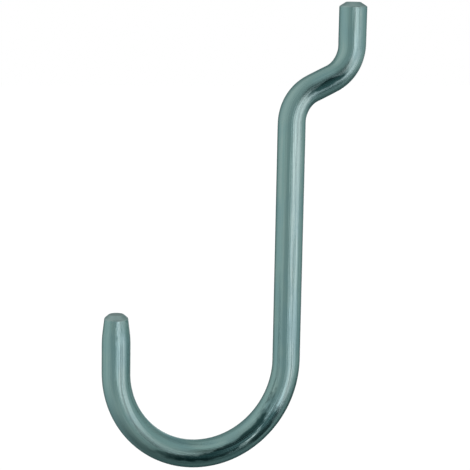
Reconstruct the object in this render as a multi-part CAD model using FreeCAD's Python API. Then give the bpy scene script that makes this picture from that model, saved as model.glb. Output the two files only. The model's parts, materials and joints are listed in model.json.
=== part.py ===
import FreeCAD, Part

# Pegboard hook, made of one round wire that is bent in the X = 0 plane.
# +Z is up, +Y points at the board and -Y at the user, in millimetres.
# The origin is on the prong's axis, where the straight prong meets its bend.

import math
import os

from FreeCAD import Vector

# Wire stock
wire_diameter = 5.7

# Cut ends: the prong has a plain chamfer, and the tip tapers a little before its own
prong_chamfer_width = 1.4
prong_chamfer_length = 0.9
tip_taper_width = 0.5
tip_taper_length = 4.0
tip_chamfer_width = 0.9
tip_chamfer_length = 0.8

# Board that the prong hooks behind, and the play that lets the hook be tilted in
board_thickness = 6.35
board_play = 1.0

# Straight lengths of the wire, from the prong down to the tip
prong_length = 8.6
crossing_length = 4.65
shank_length = 49.0
tip_length = 11.8

# Bends, measured on the inside of the wire
offset_inside_radius = 4.8
hook_inside_diameter = 31.0
hook_turn = 180.0

# Sizes that follow from those above
wire_radius = wire_diameter / 2
offset_radius = offset_inside_radius + wire_radius
hook_radius = hook_inside_diameter / 2 + wire_radius
prong_to_shank = board_thickness + board_play + wire_diameter


def offset_turn():
    """Degrees that each offset bend turns, so that two bends and the crossing span the prong to the shank.

    Two equal bends move the wire sideways by 2 R (1 - cos a), and the crossing by L sin a.
    """
    both_radii = 2 * offset_radius
    reach = math.hypot(both_radii, crossing_length)
    lean = math.atan2(both_radii, crossing_length)
    return math.degrees(lean + math.asin((prong_to_shank - both_radii) / reach))


def along(turn):
    """Unit vector of a wire that has turned by this many degrees, from straight down towards the user."""
    angle = math.radians(turn)
    return Vector(0, -math.sin(angle), -math.cos(angle))


class Centreline:
    """The wire's line, drawn from the prong's end as straights and tangent bends."""

    def __init__(self, start):
        self.point = start
        self.turned = 0.0
        self.edges = []

    def straight(self, length):
        end = self.point + along(self.turned) * length
        self.edges.append(Part.LineSegment(self.point, end).toShape())
        self.point = end

    def bend(self, radius, turn):
        side = math.copysign(90.0, turn)
        centre = self.point + along(self.turned + side) * radius
        middle = centre - along(self.turned + turn / 2 + side) * radius
        end = centre - along(self.turned + turn + side) * radius
        self.edges.append(Part.Arc(self.point, middle, end).toShape())
        self.point = end
        self.turned += turn


def hook_centreline():
    """Prong, offset across the board, shank, hook and tip, between the two turned ends."""
    prong_wall = prong_length - prong_chamfer_length
    tip_wall = tip_length - tip_taper_length - tip_chamfer_length
    line = Centreline(Vector(0, 0, prong_wall))
    line.straight(prong_wall)
    line.bend(offset_radius, offset_turn())
    line.straight(crossing_length)
    line.bend(offset_radius, -offset_turn())
    line.straight(shank_length)
    line.bend(hook_radius, hook_turn)
    line.straight(tip_wall)
    return line


def turned_end(point, outwards, steps):
    """The cones that close a cut end.

    Each step has a length along the wire and what it takes off the radius.
    """
    cones = []
    radius = wire_radius
    for length, width in steps:
        cones.append(Part.makeCone(radius, radius - width, length, point, outwards))
        point = point + outwards * length
        radius -= width
    return cones


def wire_hook():
    line = hook_centreline()
    path = Part.Wire(line.edges)
    start = path.Edges[0].Vertexes[0].Point
    section = Part.Face(Part.Wire(Part.makeCircle(wire_radius, start, along(0))))
    bent_wire = path.makePipe(section)
    prong_end = turned_end(start, along(180), [(prong_chamfer_length, prong_chamfer_width)])
    tip_steps = [(tip_taper_length, tip_taper_width), (tip_chamfer_length, tip_chamfer_width)]
    tip_end = turned_end(line.point, along(line.turned), tip_steps)
    return bent_wire.fuse(prong_end + tip_end).removeSplitter()


os.makedirs("parts", exist_ok=True)
wire_hook().exportStep("parts/wire_hook.step")
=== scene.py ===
import json
import math

import bpy
import numpy as np
from mathutils import Matrix, Vector


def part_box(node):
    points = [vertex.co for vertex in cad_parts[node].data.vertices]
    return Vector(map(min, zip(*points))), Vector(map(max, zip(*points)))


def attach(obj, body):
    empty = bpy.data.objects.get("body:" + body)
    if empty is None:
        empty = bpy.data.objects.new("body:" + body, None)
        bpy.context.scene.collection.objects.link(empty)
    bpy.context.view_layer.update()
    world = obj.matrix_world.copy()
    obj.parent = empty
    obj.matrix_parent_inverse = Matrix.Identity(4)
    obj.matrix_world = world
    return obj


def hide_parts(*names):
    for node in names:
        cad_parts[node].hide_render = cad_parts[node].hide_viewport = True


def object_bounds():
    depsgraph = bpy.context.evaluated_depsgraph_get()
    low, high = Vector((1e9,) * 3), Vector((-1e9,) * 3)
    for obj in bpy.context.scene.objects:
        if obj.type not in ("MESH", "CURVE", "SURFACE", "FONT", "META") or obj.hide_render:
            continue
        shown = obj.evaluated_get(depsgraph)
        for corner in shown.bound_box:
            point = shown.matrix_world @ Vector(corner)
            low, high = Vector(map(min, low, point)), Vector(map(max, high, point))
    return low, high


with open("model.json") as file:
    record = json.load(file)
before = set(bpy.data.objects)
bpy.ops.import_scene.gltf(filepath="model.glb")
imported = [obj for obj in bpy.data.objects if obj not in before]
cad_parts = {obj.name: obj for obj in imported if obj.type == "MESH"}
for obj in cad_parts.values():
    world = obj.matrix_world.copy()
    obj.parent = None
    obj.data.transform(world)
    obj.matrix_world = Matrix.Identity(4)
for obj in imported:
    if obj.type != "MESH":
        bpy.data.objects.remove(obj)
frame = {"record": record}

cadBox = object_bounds()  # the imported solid's box, before anything is added
mounts = {mount["name"]: mount for mount in frame["record"]["mounts"]}
millimetres = 1000  # in a metre
scene = bpy.context.scene
scene.view_settings.view_transform = "Standard"
print("frame loaded, box", [list(corner) for corner in cadBox])


# One socket of a node tree. Sums on it add Math nodes, and node() adds any other kind.
class Socket:
    def __init__(self, tree, socket=None):
        self.tree = tree
        self.socket = socket

    def node(self, kind, settings, sockets, output=0):
        made = self.tree.nodes.new(kind)
        for name, value in settings.items():
            setattr(made, name, value)
        for name, value in sockets.items():
            if isinstance(value, Socket):
                self.tree.links.new(value.socket, made.inputs[name])
            else:
                made.inputs[name].default_value = value
        return Socket(self.tree, made.outputs[output] if made.outputs else None)

    def maths(self, operation, first, second):
        return self.node("ShaderNodeMath", {"operation": operation}, {0: first, 1: second})

    def __add__(self, other):
        return self.maths("ADD", self, other)

    def __radd__(self, other):
        return self.maths("ADD", other, self)

    def __sub__(self, other):
        return self.maths("SUBTRACT", self, other)

    def __rsub__(self, other):
        return self.maths("SUBTRACT", other, self)

    def __mul__(self, other):
        return self.maths("MULTIPLY", self, other)

    def __rmul__(self, other):
        return self.maths("MULTIPLY", other, self)

    def between(self, low, high):  # 0 below low and 1 above high, with a smooth step in between
        return self.node(
            "ShaderNodeMapRange",
            {"interpolation_type": "SMOOTHSTEP"},
            {"Value": self, "From Min": low, "From Max": high},
        )

    def stretched(self, x, y, z):  # a vector with each part times its own number
        return self.node("ShaderNodeVectorMath", {"operation": "MULTIPLY"}, {0: self, 1: (x, y, z)})

    def cloud(self, detail=2.0):  # soft noise over a vector, one lump for each unit
        return self.node("ShaderNodeTexNoise", {}, {"Vector": self, "Scale": 1.0, "Detail": detail})

    def mixed(self, first, second):  # the first colour where this is 0, the second where it is 1
        return self.node(
            "ShaderNodeMix",
            {"data_type": "RGBA"},
            {0: self, 6: first, 7: second},
            output=2,
        )

    def part(self, axis):  # one part of a vector
        return self.node("ShaderNodeSeparateXYZ", {}, {0: self}, output=axis)


def newMaterial(name):
    material = bpy.data.materials.new(name)
    material.use_nodes = True
    material.node_tree.nodes.clear()
    return material, Socket(material.node_tree)


def finishMaterial(start, shader):
    start.node("ShaderNodeOutputMaterial", {}, {"Surface": shader})


# A mesh from a grid of points, rows by columns. Columns close on themselves where wrap is true,
# and poles, if given, are single points that close the first and the last row.
def gridMesh(name, points, wrap=False, poles=None):
    rows, columns = points.shape[:2]
    corners = points.reshape(-1, 3)
    number = np.arange(rows * columns).reshape(rows, columns)
    if wrap:
        number = np.concatenate([number, number[:, :1]], axis=1)
    quads = np.stack([number[:-1, :-1], number[:-1, 1:], number[1:, 1:], number[1:, :-1]], axis=-1)
    faces = quads.reshape(-1, 4).tolist()
    if poles is not None:
        firstPole = np.full(number.shape[1] - 1, len(corners))
        lastPole = firstPole + 1
        faces += np.stack([firstPole, number[0, 1:], number[0, :-1]], axis=-1).tolist()
        faces += np.stack([lastPole, number[-1, :-1], number[-1, 1:]], axis=-1).tolist()
        corners = np.concatenate([corners, poles])
    mesh = bpy.data.meshes.new(name)
    mesh.from_pydata(corners.tolist(), [], faces)
    mesh.polygons.foreach_set("use_smooth", np.ones(len(mesh.polygons), bool))
    mesh.update()
    return mesh


def addPiece(mesh, material):
    piece = bpy.data.objects.new(mesh.name, mesh)
    scene.collection.objects.link(piece)
    mesh.materials.append(material)
    return piece


# Plated wire. Sizes are in metres. What the frame doesn't give is written here.
wire = {
    "offsetInsideRadius": 0.0048,
    "crossingLength": 0.00465,
    # Each end's slopes, from the flat inwards: length along the wire and what it takes off the radius
    "prongSlopes": ((0.0009, 0.0014),),
    "tipSlopes": ((0.0008, 0.0009), (0.0040, 0.0005)),
    "softening": (0.00022, 0.00022, 0.00150),  # of each corner of an end, from its flat inwards
    "endDish": 0.00006,  # hollow of the cut flat
    "tightFlattening": 0.022,  # share of the radius that the offset bends lose across the bend
    "openFlattening": 0.006,  # the same in the hook's wide bend
    "bendFade": 0.0045,  # over which the flattening fades in and out
    "rowStep": 0.0004,
    "endRowStep": 0.00015,
    "flatRows": 7,
    "flatSpan": (0.12, 0.8),  # of a flat's radius, from near its pole to near its corner
    "cornerRows": 9,
    "columns": 96,
    "finePoints": 4001,  # that the centreline is added up on
    "bakeStrips": 3,
    "bakeMargin": 0.02,  # of a strip, left free at each of its edges
}
wireRadius = mounts["prong"]["dims"]["r_mm"] / millimetres
tipAxisY = mounts["tip"]["pos_m"][1]
cradleY = mounts["cradle"]["pos_m"][1]
cradleZ = mounts["cradle"]["pos_m"][2]
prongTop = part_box("wire_hook")[1].z
hookRadius = cradleY - tipAxisY
shankY = cradleY + hookRadius
hookCentreZ = cradleZ + hookRadius - wireRadius
offsetRadius = wire["offsetInsideRadius"] + wireRadius


# The angle that each offset bend turns: two bends move the wire by 2 R (1 - cos a) and the crossing by
# L sin a, and together they reach from the prong to the shank.
def offsetTurn():
    bothRadii = 2 * offsetRadius
    reach = math.hypot(bothRadii, wire["crossingLength"])
    lean = math.atan2(bothRadii, wire["crossingLength"])
    return lean + math.asin((-shankY - bothRadii) / reach)


# Distance along the wire and heading at each joint of its straights and bends. Heading 0 is straight
# down, and a quarter turn points at the user.
def wireStations():
    turn = offsetTurn()
    offsetDrop = 2 * offsetRadius * math.sin(turn) + wire["crossingLength"] * math.cos(turn)
    tipWall = mounts["tip"]["dims"]["length_mm"] / millimetres
    stages = [
        (prongTop, 0.0),
        (offsetRadius * turn, turn),
        (wire["crossingLength"], turn),
        (offsetRadius * turn, 0.0),
        (-offsetDrop - hookCentreZ, 0.0),
        (hookRadius * math.pi, math.pi),
        (tipWall + sum(length for length, width in wire["tipSlopes"]), math.pi),
    ]
    distance = np.cumsum([0.0] + [length for length, heading in stages])
    heading = np.array([0.0] + [heading for length, heading in stages])
    return distance, heading


# Half section of a cut end, as distance in from the end and radius: a dished flat, the slopes and the wall.
# Each corner is softened by a parabola that is tangent to both its sides.
def endProfile(slopes):
    lengths, widths = np.array(slopes).T
    flat = wireRadius - widths.sum()
    corners = np.stack([np.append(0, lengths.cumsum()), flat + np.append(0, widths.cumsum())], axis=-1)
    sides = np.array([(0, 1), *slopes, (1, 0)])
    sides = sides / np.linalg.norm(sides, axis=1, keepdims=True)
    across = np.linspace(*wire["flatSpan"], wire["flatRows"])
    rows = [np.stack([wire["endDish"] * (1 - across**2), across * flat], axis=-1)]
    share = np.linspace(0, 1, wire["cornerRows"])[:, None]
    for corner, before, after, reach in zip(corners, sides[:-1], sides[1:], wire["softening"]):
        entry = corner - reach * before
        leave = corner + reach * after
        curve = (1 - share) ** 2 * entry + 2 * share * (1 - share) * corner + share**2 * leave
        gap = np.linalg.norm(entry - rows[-1][-1])
        between = np.linspace(rows[-1][-1], entry, 2 + int(gap / wire["endRowStep"]))
        rows += [between[1:-1], curve]
    return np.concatenate(rows)


# Rows of the surface from the prong's end to the tip's, as distance along the wire and radius.
def wireRows():
    total = wireStations()[0][-1]
    prong = endProfile(wire["prongSlopes"])
    tip = endProfile(wire["tipSlopes"])[::-1]
    step = wire["rowStep"]
    wall = np.arange(prong[-1, 0] + step, total - tip[0, 0] - step / 2, step)
    along = np.concatenate([prong[:, 0], wall, total - tip[:, 0]])
    radius = np.concatenate([prong[:, 1], np.full(len(wall), wireRadius), tip[:, 1]])
    return along, radius


# Centre, heading and bend rate at each distance along the wire. The centre adds up exact chords: a step of
# length d that turns by t moves d sin(t/2) / (t/2) along its middle heading. The bend rate is the turn for
# each metre, smoothed so that it fades in and out at the ends of a bend.
def centreline(along):
    stations, stationHeadings = wireStations()
    total = stations[-1]
    fine = np.union1d(np.linspace(0, total, wire["finePoints"]), stations)
    fineHeading = np.interp(fine, stations, stationHeadings)
    halfTurn = np.diff(fineHeading) / 2
    middle = (fineHeading[1:] + fineHeading[:-1]) / 2
    chord = np.diff(fine) * np.sinc(halfTurn / np.pi)
    steps = np.stack([-np.sin(middle) * chord, -np.cos(middle) * chord], axis=-1)
    line = np.concatenate([[[0.0, prongTop]], [0.0, prongTop] + np.cumsum(steps, axis=0)])
    centre = np.stack([np.interp(along, fine, line[:, 0]), np.interp(along, fine, line[:, 1])], axis=-1)
    heading = np.interp(along, stations, stationHeadings)

    fadeHalf = round(wire["bendFade"] / total * wire["finePoints"] / 2)
    soft = np.hanning(2 * fadeHalf + 1)
    bendRate = np.pad(np.gradient(fineHeading, fine), fadeHalf, mode="edge")
    bendRate = np.convolve(bendRate, soft / soft.sum(), mode="valid")
    return centre, heading, np.interp(along, fine, bendRate)


# The wire's surface: a point is the centreline at its row, plus the row's radius times the cosine of its
# column along X and the sine along the bend's normal. In a bend the section is flatter across the bend and
# wider beside it.
def wireSurface():
    along, radius = wireRows()
    centre, heading, bend = centreline(along)
    tight = np.clip(np.abs(bend) * offsetRadius, 0, 1)
    wide = np.clip(np.abs(bend) * hookRadius, 0, 1)
    flattening = np.maximum(tight**2 * wire["tightFlattening"], wide**2 * wire["openFlattening"])[:, None]

    column = np.arange(wire["columns"]) * 2 * np.pi / wire["columns"] - np.pi / 2  # from the outer side
    roundX = radius[:, None] * np.cos(column)
    roundIn = radius[:, None] * np.sin(column)
    sideways = roundX * (1 + flattening / 2)
    inwards = roundIn * (1 - flattening)
    normalY = -np.cos(heading)[:, None]
    normalZ = np.sin(heading)[:, None]
    points = np.stack(
        [sideways, centre[:, :1] + inwards * normalY, centre[:, 1:] + inwards * normalZ], axis=-1
    )
    poles = np.array([[0, *centre[0]], [0, *centre[-1]]])
    rowAlong = np.repeat(along[:, None], wire["columns"], axis=1)
    drawn = np.stack([roundX, roundIn, rowAlong], axis=-1)
    drawnPoles = np.array([[0, 0, along[0]], [0, 0, along[-1]]])
    strain = -bend[:, None] * roundIn
    skinSteps = np.concatenate([radius[:1], np.hypot(np.diff(along), np.diff(radius)), radius[-1:]])
    return {
        "points": points,
        "poles": poles,
        "drawn": np.concatenate([drawn.reshape(-1, 3), drawnPoles]),
        "strain": np.append(strain.ravel(), [0, 0]),
        "skin": np.append(0, np.cumsum(skinSteps)),
    }


# The skin unrolled into strips that lie above one another, for maps that are baked from the material: the
# distance over the skin runs across a strip, and the way round the wire runs up it.
def unrollSkin(mesh, skin):
    around = np.arange(wire["columns"])
    row, column = np.meshgrid(np.arange(1, len(skin) - 2), around, indexing="ij")
    quadRows = np.stack([row, row, row + 1, row + 1], axis=-1).reshape(-1, 4)
    quadColumns = np.stack([column, column + 1, column + 1, column], axis=-1).reshape(-1, 4)
    firstRows = np.tile([0, 1, 1], (len(around), 1))
    firstColumns = np.stack([around + 0.5, around + 1, around], axis=-1)
    lastRows = np.tile([-1, -2, -2], (len(around), 1))
    lastColumns = np.stack([around + 0.5, around, around + 1], axis=-1)
    strips = wire["bakeStrips"]
    margin = wire["bakeMargin"]
    corners = []
    for rows, columns in ((quadRows, quadColumns), (firstRows, firstColumns), (lastRows, lastColumns)):
        distance = strips * skin[rows] / skin[-1]
        strip = np.floor(distance.mean(axis=1, keepdims=True))
        across = margin + (1 - 2 * margin) * (distance - strip)
        up = (strip + margin + (1 - 2 * margin) * columns / len(around)) / strips
        corners.append(np.stack([across, up], axis=-1).reshape(-1, 2))
    mesh.uv_layers.new(name="OFBake").data.foreach_set("uv", np.concatenate(corners).ravel())


def buildWire(material):
    surface = wireSurface()
    drawn = millimetres * surface["drawn"]
    mesh = gridMesh("platedWire", surface["points"], wrap=True, poles=surface["poles"])
    mesh.attributes.new("drawnWire", "FLOAT_VECTOR", "POINT").data.foreach_set("vector", drawn.ravel())
    mesh.attributes.new("strain", "FLOAT", "POINT").data.foreach_set("value", surface["strain"])
    unrollSkin(mesh, surface["skin"])
    piece = addPiece(mesh, material)
    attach(piece, "root")
    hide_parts("wire_hook")
    print("plated wire:", len(mesh.vertices), "points, length", round(float(drawn[-1, 2]), 2), "mm")
    return piece


# Zinc plate on drawn wire: lines along the wire from the drawing die, a cloudy grey-green passivate, paler
# and rougher plate where a bend stretches it, dull turned ends, and dark reflections painted onto the bends.
# Patterns are measured in millimetres.
plate = {
    "colour": (0.183, 0.300, 0.290, 1),
    "paleColour": (0.235, 0.345, 0.330, 1),
    "blueColour": (0.170, 0.290, 0.300, 1),
    "endColour": (0.310, 0.370, 0.360, 1),
    # near-black green of the dark reflections painted onto the bends
    "markColour": (0.014, 0.048, 0.048, 1),
    "edgeTint": (0.40, 0.46, 0.46, 1),  # the plate is darker where it is seen edge on
    "lineDepth": 0.000034,  # of the die lines, in metres
    "peelHeight": 0.2,  # as a share of the die lines
    # Lumps for each mm: twice across the wire, then along it
    "dieLines": (8.0, 8.0, 0.05),
    "streaks": (1.1, 1.1, 0.02),
    "passivate": (0.22, 0.22, 0.12),
    "peel": (1.6, 1.6, 1.6),
    # noise that breaks up the edges of the painted dark reflections
    "rubbing": (1.2, 1.2, 0.40),
    "dieLineDetail": 1.0,
    "passivateDetail": 4.0,
    "noiseMiddle": 0.5,  # that the noise varies about
    # Where each pattern starts and is full, on its noise or the strain
    "paleStreaks": (0.35, 0.7),
    "blueClouds": (0.4, 0.65),
    "paleLines": (0.5, 0.75),
    "stretchedStrain": (0.05, 0.32),
    "endEdge": (0.9, 1.5),  # as shares of a cut end's first slope
    "flatEdge": (0.06, 0.14),  # in mm from the end
    # How much of its colour each pattern brings
    "blueShare": 0.7,
    "lineShare": 0.35,
    "stretchedShare": 0.5,
    "endShare": 0.55,
    "flatShare": 0.35,
    # Roughness of the plain plate, and what each pattern adds to it
    "roughness": 0.21,
    "streakRoughness": 0.10,
    "cloudRoughness": 0.12,
    "stretchedRoughness": 0.08,
    "endRoughness": 0.22,
    "markEdge": (0.55, 1.0),  # where a painted dark reflection starts to fade and is gone, as shares of its oval
    "markBreakUp": 0.9,  # how far the break-up noise shifts that edge
    # Dark reflections painted into the colour on the wire's +X flank at the bends: middle along the wire,
    # counted in mm from the start of a stage, half length, middle and half width across as shares of the
    # radius, drift of that middle for each mm, and strength
    "marks": {
        "offset": {
            "stage": 2,
            "middle": 2.3,
            "half": 5.4,
            "flank": 0.04,
            "width": 0.29,
            "drift": 0.0,
            "strength": 0.97,
        },
        "hook": {
            "stage": 5,
            "middle": 23.0,
            "half": 17.0,
            "flank": 0.22,
            "width": 0.36,
            "drift": -0.036,
            "strength": 0.93,
        },
        "hookSide": {
            "stage": 5,
            "middle": 14.5,
            "half": 7.0,
            "flank": 0.0,
            "width": 0.33,
            "drift": -0.03,
            "strength": 0.92,
        },
        "hookBottom": {
            "stage": 5,
            "middle": 33.5,
            "half": 10.5,
            "flank": -0.12,
            "width": 0.29,
            "drift": -0.042,
            "strength": 0.70,
        },
    },
}


# 1 inside a painted dark reflection and 0 outside: an oval over the distance along the wire and the share of
# the radius across it, with an edge that noise breaks up.
def paintedReflectionMask(drawn, paintedReflection, rubbing):
    start = millimetres * float(wireStations()[0][paintedReflection["stage"]])
    along = drawn.part("Z") - (start + paintedReflection["middle"])
    radius = millimetres * wireRadius
    across = drawn.part("Y") * (1 / radius) - (paintedReflection["flank"] + paintedReflection["drift"] * along)
    along = along * (1 / paintedReflection["half"])
    across = across * (1 / paintedReflection["width"])
    distance = drawn.maths("SQRT", along * along + across * across, 0.0)
    distance = distance + plate["markBreakUp"] * (rubbing - plate["noiseMiddle"])
    plusXFlank = drawn.part("X").between(0.0, radius / 2)  # full from half the radius out
    return (1 - distance.between(*plate["markEdge"])) * plusXFlank * paintedReflection["strength"]


# The patterns that the finish is made of, and the painted dark reflections. Each is a number over the
# surface.
def platePatterns(start):
    drawn = start.node("ShaderNodeAttribute", {"attribute_name": "drawnWire"}, {}, output="Vector")
    strain = start.node("ShaderNodeAttribute", {"attribute_name": "strain"}, {}, output="Fac")
    along = drawn.part("Z")
    length = millimetres * wireStations()[0][-1]
    prongCut = millimetres * wire["prongSlopes"][0][0]
    tipCut = millimetres * wire["tipSlopes"][0][0]
    edgeStart, edgeStop = plate["endEdge"]
    flatStart, flatStop = plate["flatEdge"]
    turnedProng = 1 - along.between(edgeStart * prongCut, edgeStop * prongCut)
    turnedTip = along.between(length - edgeStop * tipCut, length - edgeStart * tipCut)
    prongFlat = 1 - along.between(flatStart, flatStop)
    tipFlat = along.between(length - flatStop, length - flatStart)
    rubbing = drawn.stretched(*plate["rubbing"]).cloud()
    return {
        "dieLines": drawn.stretched(*plate["dieLines"]).cloud(plate["dieLineDetail"]),
        "streaks": drawn.stretched(*plate["streaks"]).cloud(),
        "passivate": drawn.stretched(*plate["passivate"]).cloud(plate["passivateDetail"]),
        "peel": drawn.stretched(*plate["peel"]).cloud(),
        "stretched": strain.between(*plate["stretchedStrain"]),
        "turnedEnds": turnedProng + turnedTip,
        "cutFlats": prongFlat + tipFlat,
        # the dark reflections painted onto the bends
        "marks": [paintedReflectionMask(drawn, paintedReflection, rubbing) for paintedReflection in plate["marks"].values()],
    }


# The plain colour, with each pattern's own colour laid over it by that pattern's share.
def plateColour(patterns):
    pale = patterns["streaks"].between(*plate["paleStreaks"])
    colour = pale.mixed(plate["colour"], plate["paleColour"])
    blue = patterns["passivate"].between(*plate["blueClouds"]) * plate["blueShare"]
    colour = blue.mixed(colour, plate["blueColour"])
    paleLines = patterns["dieLines"].between(*plate["paleLines"]) * plate["lineShare"]
    colour = paleLines.mixed(colour, plate["paleColour"])
    stretched = patterns["stretched"] * plate["stretchedShare"]
    colour = stretched.mixed(colour, plate["paleColour"])
    cut = patterns["turnedEnds"] * plate["endShare"] + patterns["cutFlats"] * plate["flatShare"]
    colour = cut.mixed(colour, plate["endColour"])
    # the painted dark reflections go over everything else
    for paintedReflection in patterns["marks"]:
        colour = paintedReflection.mixed(colour, plate["markColour"])
    return colour


# The plain roughness, plus what each pattern adds. Noise adds as much as it takes off.
def plateRoughness(patterns):
    streaks = patterns["streaks"] - plate["noiseMiddle"]
    clouds = patterns["passivate"] - plate["noiseMiddle"]
    roughness = plate["roughness"] + plate["streakRoughness"] * streaks
    roughness = roughness + plate["cloudRoughness"] * clouds
    roughness = roughness + plate["stretchedRoughness"] * patterns["stretched"]
    return roughness + plate["endRoughness"] * patterns["turnedEnds"]


def plateMaterial():
    material, start = newMaterial("zincPlate")
    patterns = platePatterns(start)
    height = patterns["dieLines"] + plate["peelHeight"] * patterns["peel"]
    normal = start.node("ShaderNodeBump", {}, {"Distance": plate["lineDepth"], "Height": height})
    shader = start.node(
        "ShaderNodeBsdfPrincipled",
        {},
        {
            "Base Color": plateColour(patterns),
            "Metallic": 1.0,
            "Specular Tint": plate["edgeTint"],
            "Roughness": plateRoughness(patterns),
            "Normal": normal,
        },
    )
    finishMaterial(start, shader)
    return material


# Studio: a white floor in a white room. What shines sees soft cards in the room, given in degrees: round
# from +X towards +Y, and up from level. Later cards lie over earlier ones.
studio = {
    "floorDrop": 0.024,  # from the hook's lowest point down to the floor
    "floorHalfWidth": 2.0,
    "floorPoints": 5,  # on each side
    "floorColour": (0.80, 0.80, 0.80, 1),
    "floorGlow": 0.24,  # lifts the lit floor to white where it is seen
    "tentColour": (1.00, 1.03, 1.02, 1),
    "cards": {
        "top": {"round": (-200, 200), "up": (66, 120), "soft": 5, "colour": (0.81, 0.88, 0.88, 1)},
        "rightWall": {"round": (38, 200), "up": (-120, 56), "soft": 4, "colour": (0.78, 0.85, 0.85, 1)},
        "backWall": {"round": (122, 200), "up": (-120, 3), "soft": 20, "colour": (0.37, 0.42, 0.42, 1)},
        "floorMat": {"round": (-230, 79), "up": (-120, -43), "soft": 30, "colour": (0.24, 0.29, 0.29, 1)},
        "farFloor": {"round": (80, 178), "up": (-120, -18), "soft": 8, "colour": (0.23, 0.30, 0.30, 1)},
        "farShade": {"round": (95, 200), "up": (20, 60), "soft": 10, "colour": (0.58, 0.65, 0.65, 1)},
        "leftRear": {"round": (-200, -150), "up": (-45, 55), "soft": 10, "colour": (0.60, 0.66, 0.66, 1)},
        "cameraWall": {"round": (-67, 1), "up": (-29, 71), "soft": 4, "colour": (0.65, 0.71, 0.71, 1)},
        "frontMat": {"round": (10, 60), "up": (-120, -5), "soft": 5, "colour": (0.14, 0.20, 0.20, 1)},
        "cameraOpening": {"round": (-10, 32), "up": (4, 43), "soft": 4, "colour": (0.18, 0.21, 0.21, 1)},
        "leftBrightCard": {"round": (-6, 14), "up": (-18, 12), "soft": 5, "colour": (2.95, 2.58, 2.68, 1)},
        "rightBrightCard": {"round": (27, 56), "up": (-20, -2), "soft": 5, "colour": (2.38, 2.08, 2.16, 1)},
        "rearBrightCard": {"round": (137, 158), "up": (-18, 14), "soft": 5, "colour": (2.40, 2.10, 2.18, 1)},
    },
}
floorZ = cadBox[0].z - studio["floorDrop"]


# 1 where an angle lies from low to high and 0 elsewhere: a smooth step up times a smooth step down.
def angleSpan(angle, low, high, soft):
    return angle.between(low - soft, low + soft) * (1 - angle.between(high - soft, high + soft))


# 1 on the card and 0 off it: its span round the room times its span upwards.
def cardMask(turn, rise, card):
    return angleSpan(turn, *card["round"], card["soft"]) * angleSpan(rise, *card["up"], card["soft"])


def buildRoom():
    world = bpy.data.worlds.new("whiteRoom")
    scene.world = world
    world.use_nodes = True
    world.node_tree.nodes.clear()
    start = Socket(world.node_tree)
    towards = start.node("ShaderNodeTexCoord", {}, {}, output="Generated")
    turn = start.maths("ARCTAN2", towards.part("Y"), towards.part("X")) * math.degrees(1)
    rise = start.maths("ARCSINE", towards.part("Z"), 0.0) * math.degrees(1)
    cards = studio["tentColour"]
    for card in studio["cards"].values():
        cards = cardMask(turn, rise, card).mixed(cards, card["colour"])
    glossy = start.node("ShaderNodeLightPath", {}, {}, output="Is Glossy Ray")
    light = start.node("ShaderNodeBackground", {}, {"Color": glossy.mixed((1, 1, 1, 1), cards)})
    start.node("ShaderNodeOutputWorld", {}, {"Surface": light})


def floorMaterial():
    material, start = newMaterial("paleFloor")
    seen = start.node("ShaderNodeLightPath", {}, {}, output="Is Camera Ray")
    lit = start.node("ShaderNodeBsdfDiffuse", {}, {"Color": studio["floorColour"]})
    glow = start.node("ShaderNodeEmission", {}, {"Strength": seen * studio["floorGlow"]})
    finishMaterial(start, start.node("ShaderNodeAddShader", {}, {0: lit, 1: glow}))
    return material


# The floor is flat: x and y run over a square about the hook.
def buildFloor():
    side = np.linspace(-studio["floorHalfWidth"], studio["floorHalfWidth"], studio["floorPoints"])
    y, x = np.meshgrid(side, side, indexing="ij")
    points = np.stack([x, y, np.full_like(x, floorZ)], axis=-1)
    floor = addPiece(gridMesh("paleFloor", points), floorMaterial())
    floor.visible_glossy = False  # the wire shows the cards instead


# Camera: where it stands round the point that it was set up on, in degrees and metres, and what it aims at.
view = {
    "azimuth": 68.57,
    "elevation": 9.06,
    "roll": 0.99,
    "distance": 0.28094,
    "pivot": (0, -0.0260, -0.0395),
    "aim": (0.00098, 0.00126),  # right and up from that point
    "focalPixels": 1395.4,
    "imagePixels": 470,
    "sensor": 36.0,
    "clipStart": 0.01,
}


def buildCamera():
    azimuth, elevation, roll = (math.radians(view[name]) for name in ("azimuth", "elevation", "roll"))
    level = math.cos(elevation)
    back = Vector((math.sin(azimuth) * level, -math.cos(azimuth) * level, math.sin(elevation)))
    right = Vector((math.cos(azimuth), math.sin(azimuth), 0))
    up = back.cross(right)
    pivot = Vector(view["pivot"])
    place = pivot + back * view["distance"]
    back = (place - (pivot + right * view["aim"][0] + up * view["aim"][1])).normalized()
    right = (right - back * right.dot(back)).normalized()
    up = back.cross(right)
    tiltedRight = right * math.cos(roll) + up * math.sin(roll)
    tiltedUp = up * math.cos(roll) - right * math.sin(roll)
    camera = bpy.data.objects.new("camera", bpy.data.cameras.new("camera"))
    camera.data.sensor_width = view["sensor"]
    camera.data.lens = view["focalPixels"] * view["sensor"] / view["imagePixels"]
    camera.data.clip_start = view["clipStart"]
    turned = Matrix((tiltedRight, tiltedUp, back)).transposed().to_4x4()
    camera.matrix_world = Matrix.Translation(place) @ turned
    scene.collection.objects.link(camera)
    scene.camera = camera


buildCamera()
print("camera set")
buildRoom()
buildFloor()
print("studio built")
buildWire(plateMaterial())
